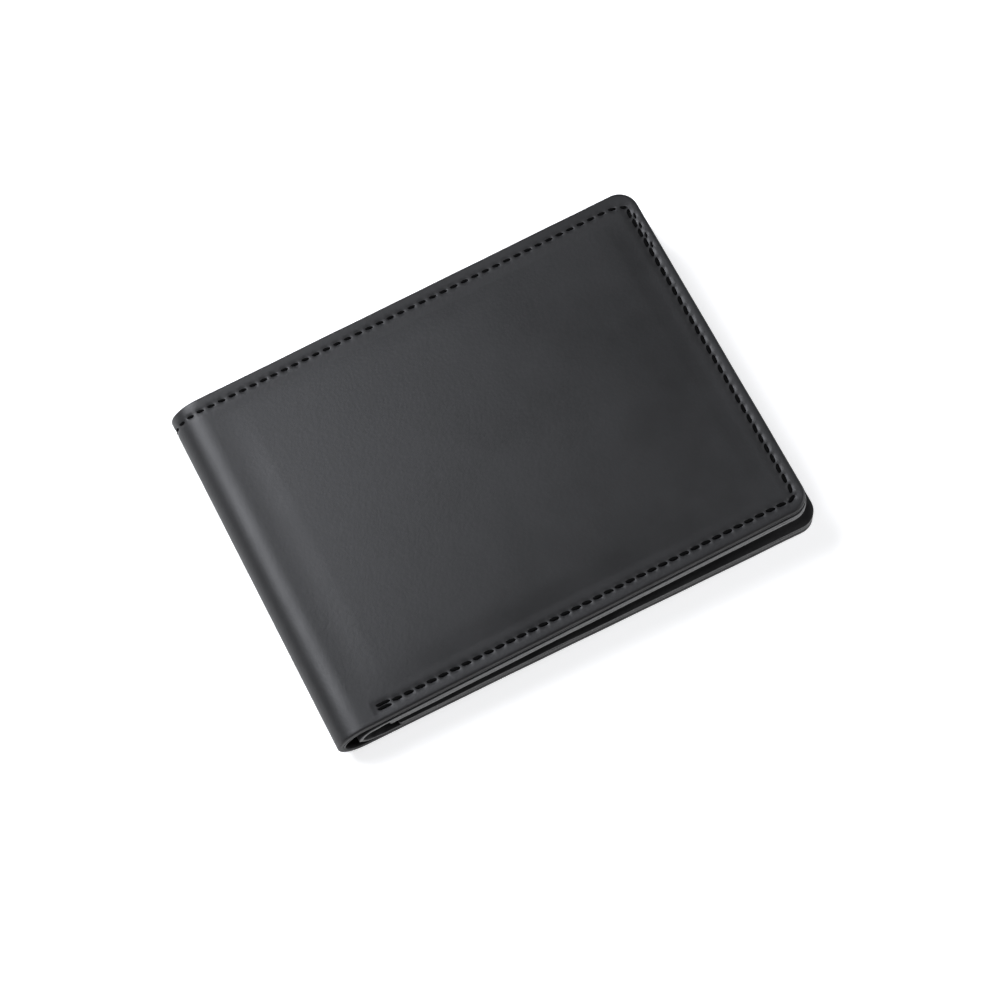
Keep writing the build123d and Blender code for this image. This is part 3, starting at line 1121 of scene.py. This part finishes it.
def seamRuns(front):
    dome = coverBulge if front else flat

    def liningFace(x, y):
        return dome(x, y) + wallLow.z

    def clothFace(depth):
        return lambda x, y: np.full_like(x, depth)

    clothSeams = []
    for node in ("back_upper_pocket_lining", "back_middle_pocket_lining"):
        low, high = frameBox(node)
        seamY = low.y + clothSeamUp
        corners = [(low.x + clothSeamIn, seamY), (high.x - clothSeamIn, seamY)]
        clothSeams.append((corners, 1.0, clothFace(high.z), -1))
    outer = [(run, stitchSize(key), dome, 1) for key, run in outerSeams.items() if key != "top"]
    outerTop = (outerSeams["top"], stitchSize("top"), dome, 1)
    return {
        "edge_thread": outer + [(innerSeams["edge"], 1.0, seamTop, -1)],
        "centre_thread": [(innerSeams["centre"], 1.0, seamTop, -1)],
        "top_thread": [outerTop, (innerSeams["top"], 1.0, liningFace, -1)],
        "pocket_cloth_thread": clothSeams,
    }


for side in ("back", "front"):
    for key, runs in seamRuns(side == "front").items():
        piece = seamPiece(f"{side}_{key}", runs, side == "front")
        attach(piece, key, side)
    print(side, "seams made")
bpy.data.objects.remove(template)

# Floor, light and camera

studio = {"floorSize": 6.0, "floorDrop": 0.02, "floorShade": 0.85, "floorGlow": 0.52, "world": 0.04}
fillColour = (0.98, 0.99, 1.02)
softboxes = {  # direction and height in degrees
    "key_light": {
        "around": 130, "above": 49, "reach": 0.7, "size": 0.38, "power": 5.9,
        "colour": (0.965, 0.985, 1.045),
    },
    "left_fill": {
        "around": 225, "above": 50, "reach": 1.6, "size": 0.8, "power": 3.0, "colour": fillColour,
    },
    "right_fill": {
        "around": 345, "above": 38, "reach": 1.6, "size": 0.8, "power": 13.0, "colour": fillColour,
    },
}
half = studio["floorSize"] / 2
floorMesh = bpy.data.meshes.new("floor")
floorZ = cadLow.z - studio["floorDrop"] * mm
floorCorners = [(-half, -half, floorZ), (half, -half, floorZ), (half, half, floorZ), (-half, half, floorZ)]
floorMesh.from_pydata(floorCorners, [], [(0, 1, 2, 3)])
floor = bpy.data.objects.new("floor", floorMesh)
bpy.context.scene.collection.objects.link(floor)
paper = Finish(
    "pale_floor", Roughness=0.9, Specular_IOR_Level=0.2, Base_Color=grey(studio["floorShade"]),
    Emission_Color=grey(1.0), Emission_Strength=studio["floorGlow"],
)
floorMesh.materials.append(paper.material)
floor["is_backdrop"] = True

world = bpy.data.worlds.new("studio")
world.use_nodes = True
background = world.node_tree.nodes["Background"]
background.inputs["Color"].default_value = (1, 1, 1, 1)
background.inputs["Strength"].default_value = studio["world"]
bpy.context.scene.world = world

for name, box in softboxes.items():
    around, above = math.radians(box["around"]), math.radians(box["above"])
    level = math.cos(above)
    direction = Vector((math.cos(around) * level, math.sin(around) * level, math.sin(above)))
    light = bpy.data.lights.new(name, "AREA")
    light.size, light.energy, light.color = box["size"], box["power"], box["colour"]
    lamp = bpy.data.objects.new(name, light)
    lamp.location = direction * box["reach"]
    lamp.rotation_euler = direction.to_track_quat("Z", "Y").to_euler()
    bpy.context.scene.collection.objects.link(lamp)

shot = {
    "azimuth": -27.5, "elevation": 67.9, "distance": 1.1, "lens": 179.9,
    "target": (-0.00115, -0.00055, 0.006), "shiftX": 0.010, "shiftY": -0.0281, "sensor": 36,
}
turn, tilt = math.radians(shot["azimuth"]), math.radians(shot["elevation"])
back = Vector((math.sin(turn) * math.cos(tilt), -math.cos(turn) * math.cos(tilt), math.sin(tilt)))
cameraData = bpy.data.cameras.new("camera")
cameraData.lens, cameraData.sensor_width = shot["lens"], shot["sensor"]
cameraData.shift_x, cameraData.shift_y = shot["shiftX"], shot["shiftY"]
camera = bpy.data.objects.new("camera", cameraData)
camera.location = Vector(shot["target"]) + back * shot["distance"]
camera.rotation_euler = (-back).to_track_quat("-Z", "Y").to_euler()
bpy.context.scene.collection.objects.link(camera)
bpy.context.scene.camera = camera
bpy.context.scene.view_settings.view_transform = "Standard"
print("studio made")

seenLow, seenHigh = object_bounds()
sizes = {"cad": [list(cadLow), list(cadHigh)], "visual": [list(seenLow), list(seenHigh)]}
